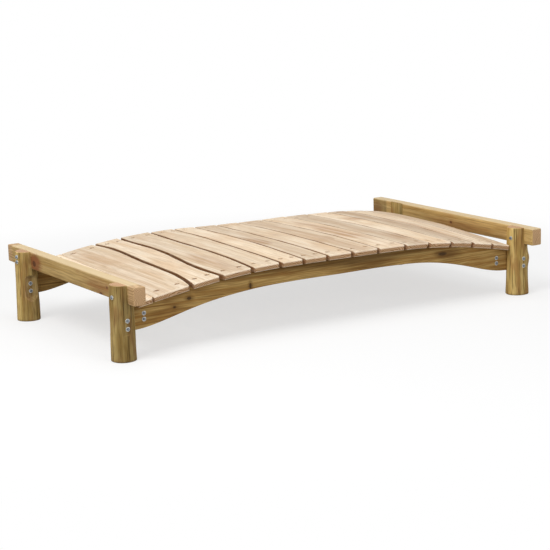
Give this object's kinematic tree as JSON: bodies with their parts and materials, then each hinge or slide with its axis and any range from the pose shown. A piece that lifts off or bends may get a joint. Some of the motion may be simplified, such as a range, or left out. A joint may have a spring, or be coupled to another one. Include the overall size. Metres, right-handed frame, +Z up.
{
  "type": "moon bridge",
  "caption": "Low arched garden bridge in timber: natural-edge boards across curved side beams, carried by round log posts with a squared kerb rail at each end.",
  "frame": {"origin": "on the ground under the middle of the bridge's box", "axes": "+X along the bridge, towards the end whose rail lies outside its posts; +Y across the bridge, towards the long ends of the rails; +Z up"},
  "size_m": [2.428, 1.435, 0.3571],
  "materials": {
    "post_timber": "pressure-treated pine log, peeled, olive tan",
    "rail_timber": "sawn pressure-treated pine, yellowish tan",
    "beam_timber": "sawn pressure-treated pine, brownish tan",
    "deck_boards": "natural-edge sawn boards, pale and slightly worn",
    "galvanised_fixings": "hot-dip galvanised bolts, washers and screws"
  },
  "bodies": {
    "root": {"post_left_front": "post_timber", "post_left_back": "post_timber", "post_right_front": "post_timber", "post_right_back": "post_timber", "rail_left": "rail_timber", "rail_right": "rail_timber", "beam_front": "beam_timber", "beam_back": "beam_timber", "board_01": "deck_boards", "board_02": "deck_boards", "board_03": "deck_boards", "board_04": "deck_boards", "board_05": "deck_boards", "board_06": "deck_boards", "board_07": "deck_boards", "board_08": "deck_boards", "board_09": "deck_boards", "board_10": "deck_boards", "board_11": "deck_boards", "board_12": "deck_boards", "board_13": "deck_boards", "board_14": "deck_boards", "board_15": "deck_boards"}
  },
  "joints": []
}
